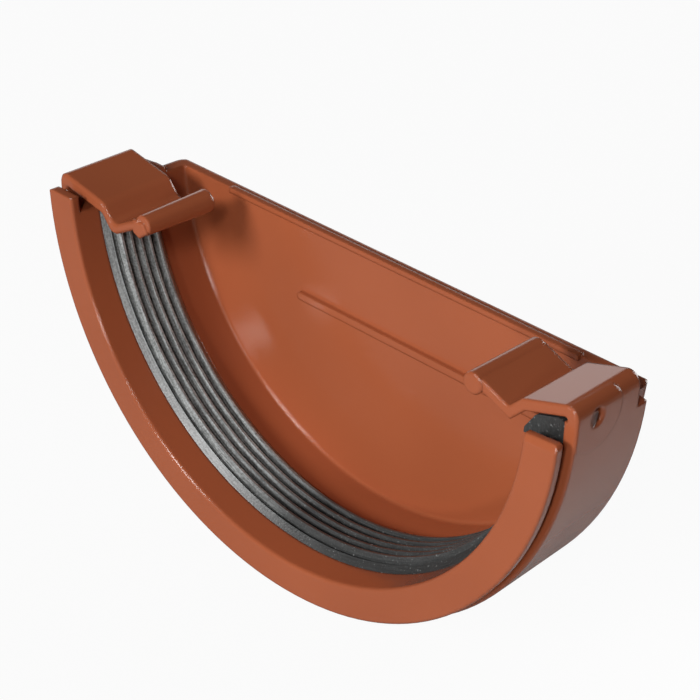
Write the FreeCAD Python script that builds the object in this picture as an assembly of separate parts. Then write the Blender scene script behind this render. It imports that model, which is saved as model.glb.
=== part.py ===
import FreeCAD, Part
import math
import os

V = FreeCAD.Vector

# Frame: X across the gutter, Y from the open mouth to the closed end, Z up
# Origin: centre of the half round, in the plane of the flange's front face

# Mouth that the gutter slides into; every other radius steps out or in from it
MOUTH_R = 62.45

# Flange ring around the mouth
FLANGE_H = 7.55
FLANGE_T = 2.0
FLANGE_LEFT_TOP = -3.9
FLANGE_RIGHT_TOP = -3.1
FLANGE_CORNER = 1.1
BEVEL_DROP = 1.4
BEVEL_RUN = 0.7
BEVEL_TILT = 5.0

# Groove outside, between the flange and the band
GROOVE_DEPTH = 4.0
GROOVE_W = 2.0

# Band that holds the seal, with the lip in front of the seal's channel
BAND_STEP = 0.8
BAND_DRAFT = 0.65
LIP_T = 3.0
LIP_LEFT_TOP = -7.5
LIP_RIGHT_TOP = -6.4
CHANNEL_WALL = 2.7
CHANNEL_LEN = 15.0
BACK_WALL = 3.0

# Closed end
END_LEN = 9.0
SHOULDER_STEP = 5.8
SHOULDER_SLOPE = 0.9
SHOULDER_LEFT_TOP = -4.7
SHOULDER_RIGHT_TOP = -3.9
END_CORNER = 3.0
END_WALL = 3.0
INSIDE_STEP = 0.15
INSIDE_DRAFT = 0.4
END_TOP = -5.75
END_TOP_ROUND = 1.1

# Ledge along the end wall's top edge, as distances from the inside wall
LEDGE_LEFT = 16.1
LEDGE_RIGHT = 12.6
LEDGE_RISE = 0.35
LEDGE_H = 1.25
LEDGE_PROUD = 0.8

# Stiffening rib across the end wall
RIB_X0 = -25.0
RIB_Z = -22.9
RIB_H = 1.8
RIB_PROUD = 1.1

# Clips: the wall's foot, the margin behind the clip, then corner, crease, valley and lip end outside
# Each point: inset from the band's outside, height, rounding, thickness of the stretch after it
CLIP_WALL = 2.35
RIGHT_FOOT = 0.0
RIGHT_MARGIN = 3.0
RIGHT_SKIN = [(0, 4.1, 2.5, 2.35), (12.5, 0.1, 0.7, 2.2), (15.4, -2.75, 0.6, 2.2), (22.4, 0.1, 0, 2.2)]
LEFT_FOOT = -5.6
LEFT_MARGIN = 2.5
LEFT_SKIN = [(-0.4, -1.45, 2.0, 2.8), (13.7, -4.1, 3.0, 2.0), (17.15, -8.2, 2.0, 2.0), (25.2, -3.9, 0, 2.0)]
LEFT_BEVEL = 0.5
WALL_RISE = 0.4
CORNER_REACH = 0.45
SHARP = 0.4

# Rods along the free edges of the clips, placed by inset and height
RIGHT_ROD = (23.6, -1.65)
RIGHT_ROD_R = 2.25
RIGHT_ROD_PROUD = 0.4
LEFT_ROD = (26.2, -5.15)
LEFT_ROD_R = 2.6
LEFT_ROD_TAPER = 0.35
LEFT_ROD_SETBACK = 0.55
LEFT_ROD_SHORT = 0.2

# Wedge at the front of the left lip, measured inward and up from the rod's centre
NUB = [(-2.7, 0.8), (0.6, 0.8), (1.9, -1.1), (-0.7, -3.1), (-2.7, -2.2)]

# Round pad with the gate dimple on the right side wall, placed back from the band's front
PAD_R = 7.0
PAD_BACK = 5.8
PAD_Z = -0.5
PAD_RELIEF = 0.12
GATE_R = 1.5
GATE_DEPTH = 1.6
GATE_RIM = 0.6

# Rubber seal: plain strip at the front, then leaning ribs
STRIP_RISE = 1.45
STRIP_W = 1.1
STRIP_BACK = 0.6
RIB_RISE = 2.45
RIB_DEPTH = 2.3
RIB_COUNT = 5
FIRST_ROOT = 0.15
LAST_RIB = 2.7
SEAL_LEFT_TOP = -7.6

# Widths of a rib and its slopes as shares of the pitch
RIB_TOP = 0.215
RIB_LEAN = 0.495
RIB_HEEL = 0.258

# Block at the seal's right end, which fills the room under the clip
BLOCK_INSET = 11.4
BLOCK_FRONT = 0.3
BLOCK_LEAN = 2.2
BLOCK_ROUND = 1.3
BLOCK_DROP = 1.4
BLOCK_GAP = 0.35

# Edge bevel of the moulding
EDGE = 0.3

# Radii that follow from the sizes above
FLANGE_R = MOUTH_R + FLANGE_H
GROOVE_R = FLANGE_R - GROOVE_DEPTH
BAND_R = FLANGE_R + BAND_STEP
CHANNEL_R = BAND_R - CHANNEL_WALL
END_R = BAND_R - SHOULDER_STEP
INSIDE_R = MOUTH_R + INSIDE_STEP
RIB_TIP_R = MOUTH_R - RIB_RISE
RIB_ROOT_R = RIB_TIP_R + RIB_DEPTH
BLOCK_R = BAND_R - BLOCK_INSET
REACH = 2 * BAND_R

# Positions along the depth that follow from the sizes above
BAND_Y = FLANGE_T + GROOVE_W
CHANNEL_Y = BAND_Y + LIP_T
CHANNEL_END = CHANNEL_Y + CHANNEL_LEN
BAND_END = CHANNEL_END + BACK_WALL
DEPTH = BAND_END + END_LEN
END_FACE = DEPTH - END_WALL
RIGHT_END = BAND_END - RIGHT_MARGIN
LEFT_END = BAND_END - LEFT_MARGIN

# Ribs of the seal share the room between the strip and the last rib
RIBS_Y = CHANNEL_Y + STRIP_W + STRIP_BACK + FIRST_ROOT
RIB_PITCH = (CHANNEL_END - LAST_RIB - RIBS_Y) / (RIB_COUNT - 1 + RIB_LEAN)

# Draft of the band as radius lost for each millimetre of depth
DRAFT = BAND_DRAFT / (BAND_END - BAND_Y)


# Tangent points and mid point of a rounded corner, limited by the shorter side
def corner(before, here, after, radius):
    a, b = before - here, after - here
    room = 0.95 * min(a.Length, b.Length)
    a.normalize()
    b.normalize()
    half = math.acos(max(-1.0, min(1.0, a.dot(b)))) / 2
    run = min(room, radius / math.tan(half))
    rise = run / math.cos(half) - run * math.tan(half)
    return here + a * run, here + (a + b).normalize() * rise, here + b * run


# Closed face from points that each carry a corner radius
def rounded_face(points, place):
    spots = [place(p[0], p[1]) for p in points]
    edges, ends = [], []
    for i, here in enumerate(spots):
        radius = points[i][2]
        if radius:
            start, middle, stop = corner(spots[i - 1], here, spots[(i + 1) % len(spots)], radius)
            edges.append(Part.Arc(start, middle, stop).toShape())
            ends.append((start, stop))
        else:
            ends.append((here, here))
    for i, (_, start) in enumerate(ends):
        stop = ends[(i + 1) % len(ends)][0]
        if start.distanceToPoint(stop) > 1e-6:
            edges.append(Part.makeLine(start, stop))
    return Part.Face(Part.Wire(Part.__sortEdges__(edges)))


# Section outline: bevels stay straight, larger roundings become a few chords
def chorded(points):
    spots = [V(p[0], p[1], 0) for p in points]
    outline = []
    for i, here in enumerate(spots):
        radius = points[i][2]
        before, after = spots[i - 1], spots[(i + 1) % len(spots)]
        if not radius:
            outline.append(here)
        elif radius <= EDGE:
            outline += [here + (side - here).normalize() * radius for side in (before, after)]
        else:
            chords = 2 if radius < 1 else 4
            outline += Part.Arc(*corner(before, here, after, radius)).discretize(chords + 1)
    return outline


# Half turn below the axis, from a section of radius and depth
def half_turn(section):
    outline = chorded(section)
    face = Part.Face(Part.makePolygon(outline + outline[:1]))
    return face.revolve(V(0, 0, 0), V(0, 1, 0), 180)


# Prism along the depth, from an outline across the gutter
def prism(outline, y0, y1):
    face = rounded_face(outline, lambda x, z: V(x, y0, z))
    return face.extrude(V(0, y1 - y0, 0))


# Plain block between two corners
def block(x0, x1, y0, y1, z0, z1):
    return Part.makeBox(x1 - x0, y1 - y0, z1 - z0, V(x0, y0, z0))


# Everything above a level on one side of the cap, between two depths
def above(side, level, y0, y1, x_far=REACH):
    x0, x1 = sorted((0, side * x_far))
    return block(x0, x1, y0, y1, level, REACH)


# Section of the moulding from the axis out and back in
def body_section():
    return [
        (0, DEPTH, 0), (END_R, DEPTH, END_CORNER),
        (END_R + EDGE, BAND_END + SHOULDER_SLOPE, 2 * EDGE),
        (BAND_R - BAND_DRAFT, BAND_END, EDGE), (BAND_R, BAND_Y, EDGE),
        (GROOVE_R, BAND_Y, EDGE), (GROOVE_R, FLANGE_T, EDGE),
        (FLANGE_R, FLANGE_T, EDGE), (FLANGE_R, 0, EDGE), (MOUTH_R, 0, 2 * EDGE),
        (MOUTH_R, CHANNEL_Y, 0), (CHANNEL_R, CHANNEL_Y, 0),
        (CHANNEL_R, CHANNEL_END, 0), (INSIDE_R, CHANNEL_END, 0),
        (INSIDE_R - INSIDE_DRAFT, END_FACE, 2 * EDGE), (0, END_FACE, 0),
    ]


# Bevelled top of the flange's right end, cut from the side
def flange_bevel():
    low = FLANGE_RIGHT_TOP - BEVEL_DROP
    back = BAND_Y - GROOVE_W / 2
    outline = [(-1, low - BEVEL_DROP), (0, low), (BEVEL_RUN, FLANGE_RIGHT_TOP), (back, FLANGE_RIGHT_TOP)]
    outline += [(back, REACH), (-1, REACH)]
    wire = Part.makePolygon([V(GROOVE_R / 2, y, z) for y, z in outline + outline[:1]])
    tool = Part.Face(wire).extrude(V(REACH, 0, 0))
    tool.rotate(V(GROOVE_R, 0, FLANGE_RIGHT_TOP), V(0, 1, 0), -BEVEL_TILT)
    return tool


# Waste outside the rounded top corner of one end of the flange
def flange_corner(side, level, tilt):
    slope = math.tan(math.radians(tilt))
    top = level + (FLANGE_R - GROOVE_R) * slope
    span = 1.3 * FLANGE_CORNER
    x_top = math.sqrt(FLANGE_R ** 2 - top ** 2)
    x_low = math.sqrt(FLANGE_R ** 2 - (top - span) ** 2)
    keep = [(x_top - span, top - span, 0), (x_top - span, top - span * slope, 0)]
    keep += [(x_top, top, FLANGE_CORNER), (x_low, top - span, 0)]
    x0, x1 = sorted((side * (x_top - span), side * (x_top + 1)))
    waste = block(x0, x1, -1, BAND_Y, top - span, top + 1)
    return waste.cut(prism([(side * x, z, r) for x, z, r in keep], -2, BAND_Y + 1))


# Waste above the rounded back edge of the end wall's top
def top_round():
    low, front = END_TOP - 2 * END_TOP_ROUND, DEPTH - 2 * END_TOP_ROUND
    keep = [(front, low, 0), (front, END_TOP, 0), (DEPTH, END_TOP, END_TOP_ROUND), (DEPTH, low, 0)]
    bar_shape = rounded_face(keep, lambda y, z: V(-REACH, y, z)).extrude(V(2 * REACH, 0, 0))
    return block(1 - REACH, REACH - 1, front, DEPTH + 1, low, END_TOP + 1).cut(bar_shape)


# Tops of the half round, level by level
def trims():
    shoulder_end = BAND_END + SHOULDER_SLOPE
    return [
        above(-1, FLANGE_LEFT_TOP, -1, BAND_Y), flange_bevel(),
        flange_corner(-1, FLANGE_LEFT_TOP, 0), flange_corner(1, FLANGE_RIGHT_TOP, BEVEL_TILT),
        above(-1, LIP_LEFT_TOP, FLANGE_T, CHANNEL_Y, CHANNEL_R),
        above(1, LIP_RIGHT_TOP, FLANGE_T, CHANNEL_Y, CHANNEL_R),
        above(-1, LEFT_FOOT, BAND_Y, LEFT_END),
        above(-1, SHOULDER_LEFT_TOP, LEFT_END, shoulder_end),
        above(1, SHOULDER_RIGHT_TOP, RIGHT_END, shoulder_end),
        above(-1, END_TOP, shoulder_end, DEPTH + 1), above(1, END_TOP, shoulder_end, DEPTH + 1),
        top_round(),
    ]


# Offset from a bend's outer corner to its inner corner, for the thickness before and after it
def inner_offset(a, b, thick_a, thick_b, turn):
    na, nb = V(-a.y, a.x, 0) * turn, V(-b.y, b.x, 0) * turn
    cross = na.x * nb.y - na.y * nb.x
    if abs(cross) < 1e-9:
        return nb * thick_b
    return V(thick_a * nb.y - thick_b * na.y, na.x * thick_b - nb.x * thick_a, 0) / cross


# Outline of a bent plate: the outer surface as given, the inner one at each stretch's thickness
def plate_outline(skin, turn):
    spots = [V(x, z, 0) for x, z, _, _ in skin]
    ways = [(q - p).normalize() for p, q in zip(spots, spots[1:])]
    inner = []
    for i, here in enumerate(spots):
        a, b = ways[max(i - 1, 0)], ways[min(i, len(ways) - 1)]
        offset = inner_offset(a, b, skin[max(i - 1, 0)][3], skin[min(i, len(ways) - 1)][3], turn)
        inward_bend = (a.x * b.y - a.y * b.x) * turn > 0
        radius = skin[i][2]
        if radius and inward_bend:
            radius = max(SHARP, radius - skin[i][3])
        inner.append((here.x + offset.x, here.y + offset.y, radius))
    return [(x, z, r) for x, z, r, _ in skin] + inner[::-1]


# Bevel along the front edges of a clip, apart from those at its foot
def bevel_front(shape, foot, width):
    front = [e for e in shape.Edges if e.BoundBox.YMax < BAND_Y + 1e-6]
    return shape.makeChamfer(width, [e for e in front if e.BoundBox.ZMax > foot + 1e-6])


# Foot of a clip's side wall, whose outside moves in by the given shift along its length
def clip_wall(side, x, foot, length, shift):
    outside = [V(x, BAND_Y, foot), V(x - side * shift, BAND_Y + length, foot)]
    outline = outside + [p - V(side * CLIP_WALL, 0, 0) for p in outside[::-1]]
    return Part.Face(Part.makePolygon(outline + outline[:1])).extrude(V(0, 0, WALL_RISE))


# Corner between a clip's side wall and its plate, which runs back along both and is rounded
def clip_corner(side, foot, length, top, middle, shift):
    start = (top[0], foot + WALL_RISE / 2, 0, CLIP_WALL)
    outline = plate_outline([start, top, middle], side)
    spots = [V(x, BAND_Y, z) for x, z, _ in outline]
    slope = (top[1] - middle[1]) / abs(top[0] - middle[0])
    bend = Part.Face(Part.makePolygon(spots + spots[:1])).extrude(V(-side * shift, length, -shift * slope))
    for x, z, radius in (outline[1], outline[-2]):
        spot = Part.Vertex(x, BAND_Y, z)
        near = [e for e in bend.Edges if e.distToShape(spot)[0] < 1e-6]
        bend = bend.makeFillet(radius, [e for e in near if e.Length > length / 2])
    return bend


# Clip: side wall, rounded corner, and the bent plate that they carry
def clip(side, foot, end, skin, bevel, draft):
    length = end - BAND_Y
    points = [(side * (BAND_R - inset), z, r, t) for inset, z, r, t in skin]
    (x0, z0, _, thick), (x1, z1, _, _) = points[:2]
    middle = (x0 + (x1 - x0) * CORNER_REACH, z0 + (z1 - z0) * CORNER_REACH, 0, thick)
    plate = prism(plate_outline([middle] + points[1:], side), BAND_Y, BAND_Y + length)
    wall = clip_wall(side, x0, foot, length, draft * length)
    corner_piece = clip_corner(side, foot, length, points[0], middle, draft * length)
    return bevel_front(plate.fuse([wall, corner_piece]).removeSplitter(), foot, bevel)


# Round bar with bevelled ends
def bevel_ends(bar):
    return bar.makeChamfer(EDGE, [e for e in bar.Edges if len(e.Vertexes) == 1])


# Higher clip, on the right
def right_clip():
    plate = clip(1, RIGHT_FOOT, RIGHT_END, RIGHT_SKIN, EDGE, DRAFT)
    front = V(BAND_R - RIGHT_ROD[0], BAND_Y - RIGHT_ROD_PROUD, RIGHT_ROD[1])
    rod = Part.makeCylinder(RIGHT_ROD_R, RIGHT_END - front.y, front, V(0, 1, 0))
    return plate.fuse(bevel_ends(rod))


# Lower clip, on the left, whose lip ends in a wedge before a rod that widens to the back
def left_clip():
    plate = clip(-1, LEFT_FOOT, LEFT_END, LEFT_SKIN, LEFT_BEVEL, 0)
    x, z = LEFT_ROD[0] - BAND_R, LEFT_ROD[1]
    front = V(x, BAND_Y + LEFT_ROD_SETBACK, z)
    length = LEFT_END - LEFT_ROD_SHORT - front.y
    wedge = prism([(x + across, z + up, 0) for across, up in NUB], BAND_Y, front.y)
    rod = Part.makeCone(LEFT_ROD_R - LEFT_ROD_TAPER, LEFT_ROD_R, length, front, V(0, 1, 0))
    return plate.fuse([bevel_front(wedge, z - REACH, EDGE), bevel_ends(rod)])


# Round pad, a thin copy of the skin inside a circle seen from the side
def gate_pad(body):
    disc = Part.makeCylinder(PAD_R, 2 * PAD_R, V(BAND_R - PAD_R, BAND_Y + PAD_BACK, PAD_Z), V(1, 0, 0))
    zone = block(BAND_R - CLIP_WALL, REACH, BAND_Y + EDGE, RIGHT_END, PAD_Z - 2 * PAD_R, REACH)
    skin = body.common(zone)
    skin.translate(V(PAD_RELIEF, 0, PAD_RELIEF / 2))
    return skin.common(disc)


# Small countersunk dimple left where the plastic was fed in
def gate_dimple():
    outside = BAND_R - DRAFT * PAD_BACK + PAD_RELIEF
    centre, inward = V(outside, BAND_Y + PAD_BACK, PAD_Z), V(-1, 0, 0)
    rim = Part.makeCone(GATE_R + GATE_RIM, GATE_R, GATE_RIM, centre, inward)
    return rim.fuse(Part.makeCylinder(GATE_R, GATE_DEPTH, centre, inward))


# Half width of the inside at a height
def inside_half(z):
    return math.sqrt((INSIDE_R - INSIDE_DRAFT) ** 2 - z ** 2)


# Ledge along the top of the end wall
def ledge():
    y0 = END_FACE - LEDGE_PROUD
    x0, x1 = LEDGE_LEFT - INSIDE_R, INSIDE_R - LEDGE_RIGHT
    return block(x0, x1, y0, y0 + 2 * LEDGE_PROUD, END_TOP + LEDGE_RISE - LEDGE_H, END_TOP + LEDGE_RISE)


# Rib across the end wall, rounded at its free end
def wall_rib():
    r = RIB_H / 2
    y0, y1 = END_FACE - RIB_PROUD, END_FACE + EDGE
    straight = block(RIB_X0 + r, inside_half(RIB_Z - r) + EDGE, y0, y1, RIB_Z - r, RIB_Z + r)
    return straight.fuse(Part.makeCylinder(r, y1 - y0, V(RIB_X0 + r, y0, RIB_Z), V(0, 1, 0)))


# The whole moulded body
def cap_body():
    shell = half_turn(body_section())
    for tool in trims():
        shell = shell.cut(tool)
    body = shell.fuse([right_clip(), left_clip(), ledge(), wall_rib()])
    return body.fuse(gate_pad(body)).cut(gate_dimple()).removeSplitter()


# Section of the seal: plain front strip, then ribs and gaps
def seal_section():
    strip_y = CHANNEL_Y + STRIP_W
    points = [(CHANNEL_R, CHANNEL_Y, 0), (MOUTH_R, CHANNEL_Y, 0)]
    points += [(MOUTH_R - STRIP_RISE, strip_y, 0), (RIB_ROOT_R, strip_y + STRIP_BACK, 0)]
    for i in range(RIB_COUNT):
        tip = RIBS_Y + (RIB_LEAN + i) * RIB_PITCH
        flat = RIB_TOP * RIB_PITCH / 2
        points.append((RIB_ROOT_R, tip - RIB_LEAN * RIB_PITCH, 0))
        points += [(RIB_TIP_R, tip - flat, 0), (RIB_TIP_R, tip + flat, 0)]
        if i < RIB_COUNT - 1:
            points.append((RIB_ROOT_R, tip + RIB_HEEL * RIB_PITCH, 0))
    return points + [(INSIDE_R, CHANNEL_END, 0), (CHANNEL_R, CHANNEL_END, 0)]


# Height of the seal's right end under the clip's plate
def under_clip(x):
    (_, z0, _, thick), (inset, z1, _, _) = RIGHT_SKIN[:2]
    slope = (z0 - z1) / inset
    return z0 - slope * (BAND_R - x) - thick * math.hypot(1, slope) - BLOCK_GAP


# What the seal's right end keeps: a leaning side and a rounded top along the clip's plate
def seal_end_keep():
    near, far = BLOCK_R + BLOCK_LEAN, CHANNEL_R - BLOCK_ROUND
    low = LIP_RIGHT_TOP
    tops = [(x, under_clip(x), BLOCK_ROUND) for x in (near, far)]
    outline = [(BLOCK_R - 1, low, 0)] + tops
    outline += [(CHANNEL_R + 1, under_clip(far) - BLOCK_DROP, 0), (CHANNEL_R + 1, low, 0)]
    return prism(outline, -1, DEPTH)


# Rubber half ring that fills the channel, with the block over the lip's right end
def seal_strip():
    front, back = BAND_Y + BLOCK_FRONT, CHANNEL_Y + STRIP_W
    section = [(CHANNEL_R, front, 0), (BLOCK_R, front, 0), (BLOCK_R, back, 0), (CHANNEL_R, back, 0)]
    end = half_turn(section).common(block(0, REACH, 0, DEPTH, LIP_RIGHT_TOP, 1))
    ring = half_turn(seal_section()).cut(above(-1, SEAL_LEFT_TOP, 0, DEPTH))
    waste = block(0, REACH, 0, DEPTH - 1, LIP_RIGHT_TOP, REACH).cut(seal_end_keep())
    return ring.fuse(end).cut(waste).removeSplitter()


# Write each piece to its own file
def main():
    os.makedirs("parts", exist_ok=True)
    for name, shape in {"cap_body": cap_body(), "seal_strip": seal_strip()}.items():
        solid = shape.Solids[0]
        print(name, len(shape.Solids), shape.isValid(), round(solid.Volume, 1), solid.BoundBox)
        solid.exportStep("parts/" + name + ".step")


main()
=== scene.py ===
import math

import bpy
from mathutils import Matrix, Vector


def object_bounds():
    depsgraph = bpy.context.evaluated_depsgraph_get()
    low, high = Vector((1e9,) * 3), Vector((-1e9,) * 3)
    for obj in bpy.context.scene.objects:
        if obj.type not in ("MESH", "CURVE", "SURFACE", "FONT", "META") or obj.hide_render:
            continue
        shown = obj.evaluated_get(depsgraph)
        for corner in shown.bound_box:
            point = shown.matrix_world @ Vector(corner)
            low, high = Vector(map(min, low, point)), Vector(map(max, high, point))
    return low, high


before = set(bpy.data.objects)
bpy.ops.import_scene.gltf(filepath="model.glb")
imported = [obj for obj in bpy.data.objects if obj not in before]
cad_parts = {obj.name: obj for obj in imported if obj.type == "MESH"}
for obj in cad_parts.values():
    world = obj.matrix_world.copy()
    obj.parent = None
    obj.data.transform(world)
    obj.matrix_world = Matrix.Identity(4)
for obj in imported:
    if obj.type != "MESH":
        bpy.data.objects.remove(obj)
CAD_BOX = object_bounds()

MM = 0.001

# Camera found from the circles and clip edges of the photograph
CAMERA_AZIMUTH = 44.397
CAMERA_ELEVATION = 30.579
CAMERA_ROLL = 1.271
CAMERA_DISTANCE = 394.137 * MM
CAMERA_TARGET = Vector((5.747, 15.0, -17.215)) * MM
SENSOR = 36.0
FOCAL_PIXELS = 2001.938
PHOTO_WIDTH = 700

# Moulding: rounding that its edges show in the light, gloss, and spacing of its clouds of colour
EDGE_ROUND = 0.8 * MM
PVC_ROUGHNESS = 0.16
CLOUD_SIZE = 25 * MM

# Colours as linear values
PVC_COLOUR = (0.39, 0.102, 0.041, 1)
PVC_DARKER = (0.32, 0.082, 0.033, 1)
RUBBER_COLOUR = (0.012, 0.013, 0.013, 1)
# Grey of the rubber's dust, also used to paint a sheen of highlight on the seal
RUBBER_DUST_AND_SHEEN = (0.36, 0.375, 0.37, 1)

# Rubber: gloss, and stretch across the width over which its dust and painted sheen thin out to a
# trace; this fade paints the key light's highlight onto the seal's lower left
RUBBER_ROUGHNESS = 0.42
RUBBER_SPECULAR = 0.9
PAINTED_SHEEN_FULL = -26 * MM
PAINTED_SHEEN_NONE = -4 * MM
PAINTED_SHEEN_TRACE = 0.10

# Depth at which the seal's plain strip ends, and its share of the ribs' dust and painted sheen; the
# ribs' fuller share paints light onto their shaded faces
STRIP_END = 8.4 * MM
STRIP_BLUR = 0.2 * MM
STRIP_DUST_AND_SHEEN = 0.5

# Dust where the grain is deepest and highest, and height of the grain
DUST_LOW = 0.16
DUST_HIGH = 1.0
GRAIN_DEEP = 0.12
GRAIN_TOP = 0.36
GRAIN_HEIGHT = 0.12 * MM

# Share of dust on the single crumbs, and stretch of the grit that makes them
CRUMB_DUST = 0.6
CRUMB_START = 0.66
CRUMB_FULL = 0.72

# Grit on the rubber, and streaks in it: spacing across the ribs, and along them in radians
GRIT_SIZE = 0.45 * MM
STREAK_WIDTH = 0.35 * MM
STREAK_ANGLE = 0.10

# Floor: how much of it the camera sees as plain white, its half width, and its gap below the part
FLOOR_COLOUR = (0.35, 0.35, 0.35, 1)
FLOOR_ROUGHNESS = 0.9
FLOOR_WHITE = 0.95
FLOOR_REACH = 3.0
FLOOR_GAP = 0.2 * MM

# Light of the world on the part
WORLD_LIGHT = 0.03

# Point of the part that the lamps are aimed at
LAMP_AIM = Vector((0, 0.015, -0.03))

# Area lamps, in metres and watts: place, size, power
LAMPS = {
    "key": ((-0.14, -0.97, 0.44), (0.30, 0.30), 8.8),
    "low": ((0.46, -0.99, 0.14), (0.12, 0.10), 2.2),
    "flash": ((0.48, -0.74, 0.58), (0.16, 0.16), 3.4),
    "back": ((-0.80, 0.62, 0.12), (0.9, 0.35), 1.1),
    "rear": ((0.04, 1.00, 0.12), (0.40, 0.40), 4.5),
}

# Round light on the floor behind the part's right side
SPOT_PLACE = (0.42, 0.50, 0.45)
SPOT_AIM = (0.114, 0.071, -0.071)
SPOT_DEGREES = 10
SPOT_POWER = 36
SPOT_BLEND = 0.8
SPOT_RADIUS = 0.02


# Unit vectors of the camera: right, up and back
def camera_axes():
    azimuth = math.radians(CAMERA_AZIMUTH)
    elevation = math.radians(CAMERA_ELEVATION)
    roll = math.radians(CAMERA_ROLL)
    level = Vector((math.cos(azimuth), math.sin(azimuth), 0))
    ahead = Vector((math.sin(azimuth), -math.cos(azimuth), 0))
    back = ahead * math.cos(elevation) + Vector((0, 0, math.sin(elevation)))
    steep = back.cross(level)
    right = level * math.cos(roll) + steep * math.sin(roll)
    up = steep * math.cos(roll) - level * math.sin(roll)
    return right, up, back


# Camera at the photograph's place
def add_camera():
    data = bpy.data.cameras.new("camera")
    data.sensor_width = SENSOR
    data.lens = FOCAL_PIXELS * SENSOR / PHOTO_WIDTH
    data.clip_start = 0.01
    data.clip_end = 20
    camera = bpy.data.objects.new("camera", data)
    right, up, back = camera_axes()
    place = CAMERA_TARGET + back * CAMERA_DISTANCE
    camera.matrix_world = Matrix.Translation(place) @ Matrix((right, up, back)).transposed().to_4x4()
    bpy.context.scene.collection.objects.link(camera)
    bpy.context.scene.camera = camera


# Empty node material with its output
def new_material(name):
    material = bpy.data.materials.new(name)
    material.use_nodes = True
    nodes = material.node_tree.nodes
    nodes.clear()
    output = nodes.new("ShaderNodeOutputMaterial")
    shader = nodes.new("ShaderNodeBsdfPrincipled")
    material.node_tree.links.new(shader.outputs["BSDF"], output.inputs["Surface"])
    return material, nodes, material.node_tree.links, shader


# Noise in the object's own coordinates, features a given size apart
def noise(nodes, links, size, detail):
    where = nodes.new("ShaderNodeTexCoord")
    texture = nodes.new("ShaderNodeTexNoise")
    texture.inputs["Scale"].default_value = 1 / size
    texture.inputs["Detail"].default_value = detail
    links.new(where.outputs["Object"], texture.inputs["Vector"])
    return texture.outputs["Fac"]


# Values between two limits, as a factor goes from start to stop
def remap(nodes, links, factor, low, high, start, stop):
    node = nodes.new("ShaderNodeMapRange")
    node.inputs["From Min"].default_value = start
    node.inputs["From Max"].default_value = stop
    node.inputs["To Min"].default_value = low
    node.inputs["To Max"].default_value = high
    links.new(factor, node.inputs["Value"])
    return node.outputs["Result"]


# Result of a math node on one or two values
def calculate(nodes, links, operation, *values):
    node = nodes.new("ShaderNodeMath")
    node.operation = operation
    for value, place in zip(values, node.inputs):
        links.new(value, place)
    return node.outputs["Value"]


# Product of two values
def multiply(nodes, links, one, two):
    return calculate(nodes, links, "MULTIPLY", one, two)


# Value times a number
def scaled(nodes, links, value, number):
    node = nodes.new("ShaderNodeMath")
    node.operation = "MULTIPLY"
    links.new(value, node.inputs[0])
    node.inputs[1].default_value = number
    return node.outputs["Value"]


# Mix of two colours, driven by a factor
def blend(nodes, links, factor, one, two):
    node = nodes.new("ShaderNodeMix")
    node.data_type = "RGBA"
    node.inputs["A"].default_value = one
    node.inputs["B"].default_value = two
    links.new(factor, node.inputs["Factor"])
    return node.outputs["Result"]


# Bump from a height, in metres
def bump(nodes, links, height, distance):
    node = nodes.new("ShaderNodeBump")
    node.inputs["Distance"].default_value = distance
    links.new(height, node.inputs["Height"])
    return node.outputs["Normal"]


# Glossy moulded PVC
def pvc():
    material, nodes, links, shader = new_material("brown_pvc")
    cloud = noise(nodes, links, CLOUD_SIZE, 0.0)
    links.new(blend(nodes, links, cloud, PVC_COLOUR, PVC_DARKER), shader.inputs["Base Color"])
    shader.inputs["Roughness"].default_value = PVC_ROUGHNESS
    edge = nodes.new("ShaderNodeBevel")
    edge.inputs["Radius"].default_value = EDGE_ROUND
    links.new(edge.outputs["Normal"], shader.inputs["Normal"])
    return material


# Streaks that follow the ribs round the half circle
def streaks(nodes, links, split):
    square = [multiply(nodes, links, split.outputs[axis], split.outputs[axis]) for axis in "XZ"]
    radius = calculate(nodes, links, "SQRT", calculate(nodes, links, "ADD", *square))
    angle = calculate(nodes, links, "ARCTAN2", split.outputs["Z"], split.outputs["X"])
    place = nodes.new("ShaderNodeCombineXYZ")
    links.new(scaled(nodes, links, radius, 1 / STREAK_WIDTH), place.inputs["X"])
    links.new(scaled(nodes, links, split.outputs["Y"], 1 / STREAK_WIDTH), place.inputs["Y"])
    links.new(scaled(nodes, links, angle, 1 / STREAK_ANGLE), place.inputs["Z"])
    texture = nodes.new("ShaderNodeTexNoise")
    texture.inputs["Scale"].default_value = 1
    links.new(place.outputs["Vector"], texture.inputs["Vector"])
    return texture.outputs["Fac"]


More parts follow.
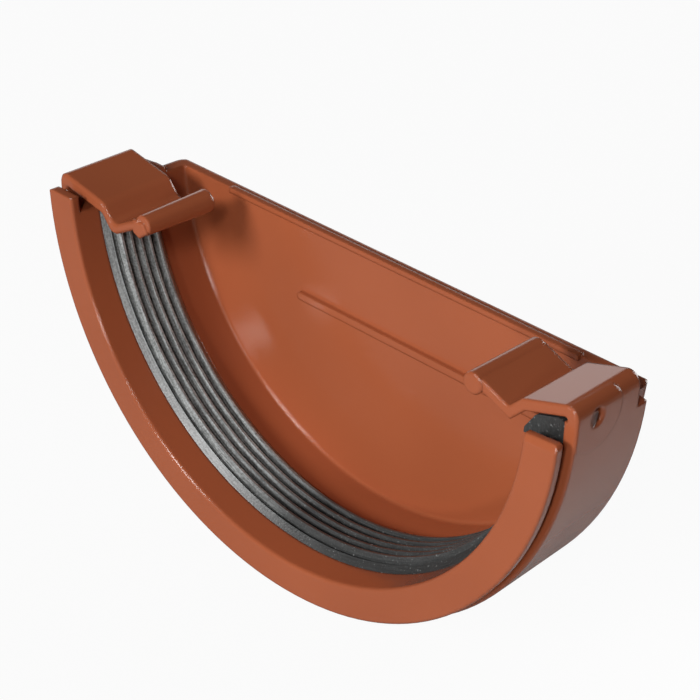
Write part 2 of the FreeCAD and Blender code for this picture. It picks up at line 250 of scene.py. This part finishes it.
# Black rubber with dust on it, and a painted highlight on its lower left
def rubber():
    material, nodes, links, shader = new_material("black_rubber")
    where = nodes.new("ShaderNodeTexCoord")
    split = nodes.new("ShaderNodeSeparateXYZ")
    links.new(where.outputs["Object"], split.inputs["Vector"])
    grit = noise(nodes, links, GRIT_SIZE, 3.0)
    grain = multiply(nodes, links, streaks(nodes, links, split), grit)
    specks = remap(nodes, links, grain, DUST_LOW, DUST_HIGH, GRAIN_DEEP, GRAIN_TOP)
    # Painted highlight: the grey is full on the seal's lower left and fades to a trace towards the
    # middle and right, standing in for the key light's sheen
    painted_sheen_reach = remap(nodes, links, split.outputs["X"], PAINTED_SHEEN_TRACE, 1.0, PAINTED_SHEEN_NONE, PAINTED_SHEEN_FULL)
    # Ribs get more grey than the strip: partly dust, partly painted light on their shaded faces
    depth = remap(nodes, links, split.outputs["Y"], STRIP_DUST_AND_SHEEN, 1.0, STRIP_END - STRIP_BLUR, STRIP_END)
    dust_and_sheen = multiply(nodes, links, multiply(nodes, links, specks, painted_sheen_reach), depth)
    crumbs = remap(nodes, links, grit, 0.0, CRUMB_DUST, CRUMB_START, CRUMB_FULL)
    dust_and_sheen = calculate(nodes, links, "MAXIMUM", dust_and_sheen, crumbs)
    links.new(blend(nodes, links, dust_and_sheen, RUBBER_COLOUR, RUBBER_DUST_AND_SHEEN), shader.inputs["Base Color"])
    links.new(bump(nodes, links, grain, GRAIN_HEIGHT), shader.inputs["Normal"])
    shader.inputs["Roughness"].default_value = RUBBER_ROUGHNESS
    shader.inputs["Specular IOR Level"].default_value = RUBBER_SPECULAR
    return material


# Floor that shows white to the camera and keeps a soft shadow
def floor_material():
    material, nodes, links, shader = new_material("floor")
    shader.inputs["Base Color"].default_value = FLOOR_COLOUR
    shader.inputs["Roughness"].default_value = FLOOR_ROUGHNESS
    light = nodes.new("ShaderNodeEmission")
    light.inputs["Strength"].default_value = 1.0
    path = nodes.new("ShaderNodeLightPath")
    mix = nodes.new("ShaderNodeMixShader")
    links.new(scaled(nodes, links, path.outputs["Is Camera Ray"], FLOOR_WHITE), mix.inputs["Fac"])
    links.new(shader.outputs["BSDF"], mix.inputs[1])
    links.new(light.outputs["Emission"], mix.inputs[2])
    output = [n for n in nodes if n.type == "OUTPUT_MATERIAL"][0]
    links.new(mix.outputs["Shader"], output.inputs["Surface"])
    return material


# Floor under the part
def add_floor():
    low = CAD_BOX[0][2] - FLOOR_GAP
    corners = [(-1, -1), (1, -1), (1, 1), (-1, 1)]
    mesh = bpy.data.meshes.new("floor")
    mesh.from_pydata([(x * FLOOR_REACH, y * FLOOR_REACH, low) for x, y in corners], [], [(0, 1, 2, 3)])
    floor = bpy.data.objects.new("floor", mesh)
    mesh.materials.append(floor_material())
    bpy.context.scene.collection.objects.link(floor)


# Light of a given power at its place, turned to what it is aimed at
def place_light(data, place, aim, power):
    data.energy = power
    lamp = bpy.data.objects.new(data.name, data)
    lamp.location = place
    lamp.rotation_euler = (Vector(aim) - Vector(place)).to_track_quat("-Z", "Y").to_euler()
    bpy.context.scene.collection.objects.link(lamp)


# Soft lamp aimed at the part
def add_lamp(name, place, size, power):
    data = bpy.data.lights.new(name, "AREA")
    data.shape = "RECTANGLE"
    data.size, data.size_y = size
    place_light(data, place, LAMP_AIM, power)


# Spot lamp aimed at the floor beside the part
def add_spot():
    data = bpy.data.lights.new("backdrop", "SPOT")
    data.spot_size = math.radians(SPOT_DEGREES)
    data.spot_blend = SPOT_BLEND
    data.shadow_soft_size = SPOT_RADIUS
    place_light(data, SPOT_PLACE, SPOT_AIM, SPOT_POWER)


# World: plain weak light on the part, white to the camera
def add_world():
    world = bpy.data.worlds.new("studio")
    world.use_nodes = True
    nodes, links = world.node_tree.nodes, world.node_tree.links
    background = nodes["Background"]
    path = nodes.new("ShaderNodeLightPath")
    strength = nodes.new("ShaderNodeMapRange")
    strength.inputs["To Min"].default_value = WORLD_LIGHT
    strength.inputs["To Max"].default_value = 1.0
    links.new(path.outputs["Is Camera Ray"], strength.inputs["Value"])
    links.new(strength.outputs["Result"], background.inputs["Strength"])
    background.inputs["Color"].default_value = (1, 1, 1, 1)
    bpy.context.scene.world = world


# Give a CAD piece its finish
def dress(node, material):
    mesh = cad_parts[node].data
    mesh.materials.clear()
    mesh.materials.append(material)


dress("cap_body", pvc())
dress("seal_strip", rubber())
add_floor()
add_world()
for lamp_name, (lamp_place, lamp_size, lamp_power) in LAMPS.items():
    add_lamp(lamp_name, lamp_place, lamp_size, lamp_power)
add_spot()
add_camera()
bpy.context.scene.view_settings.view_transform = "Standard"
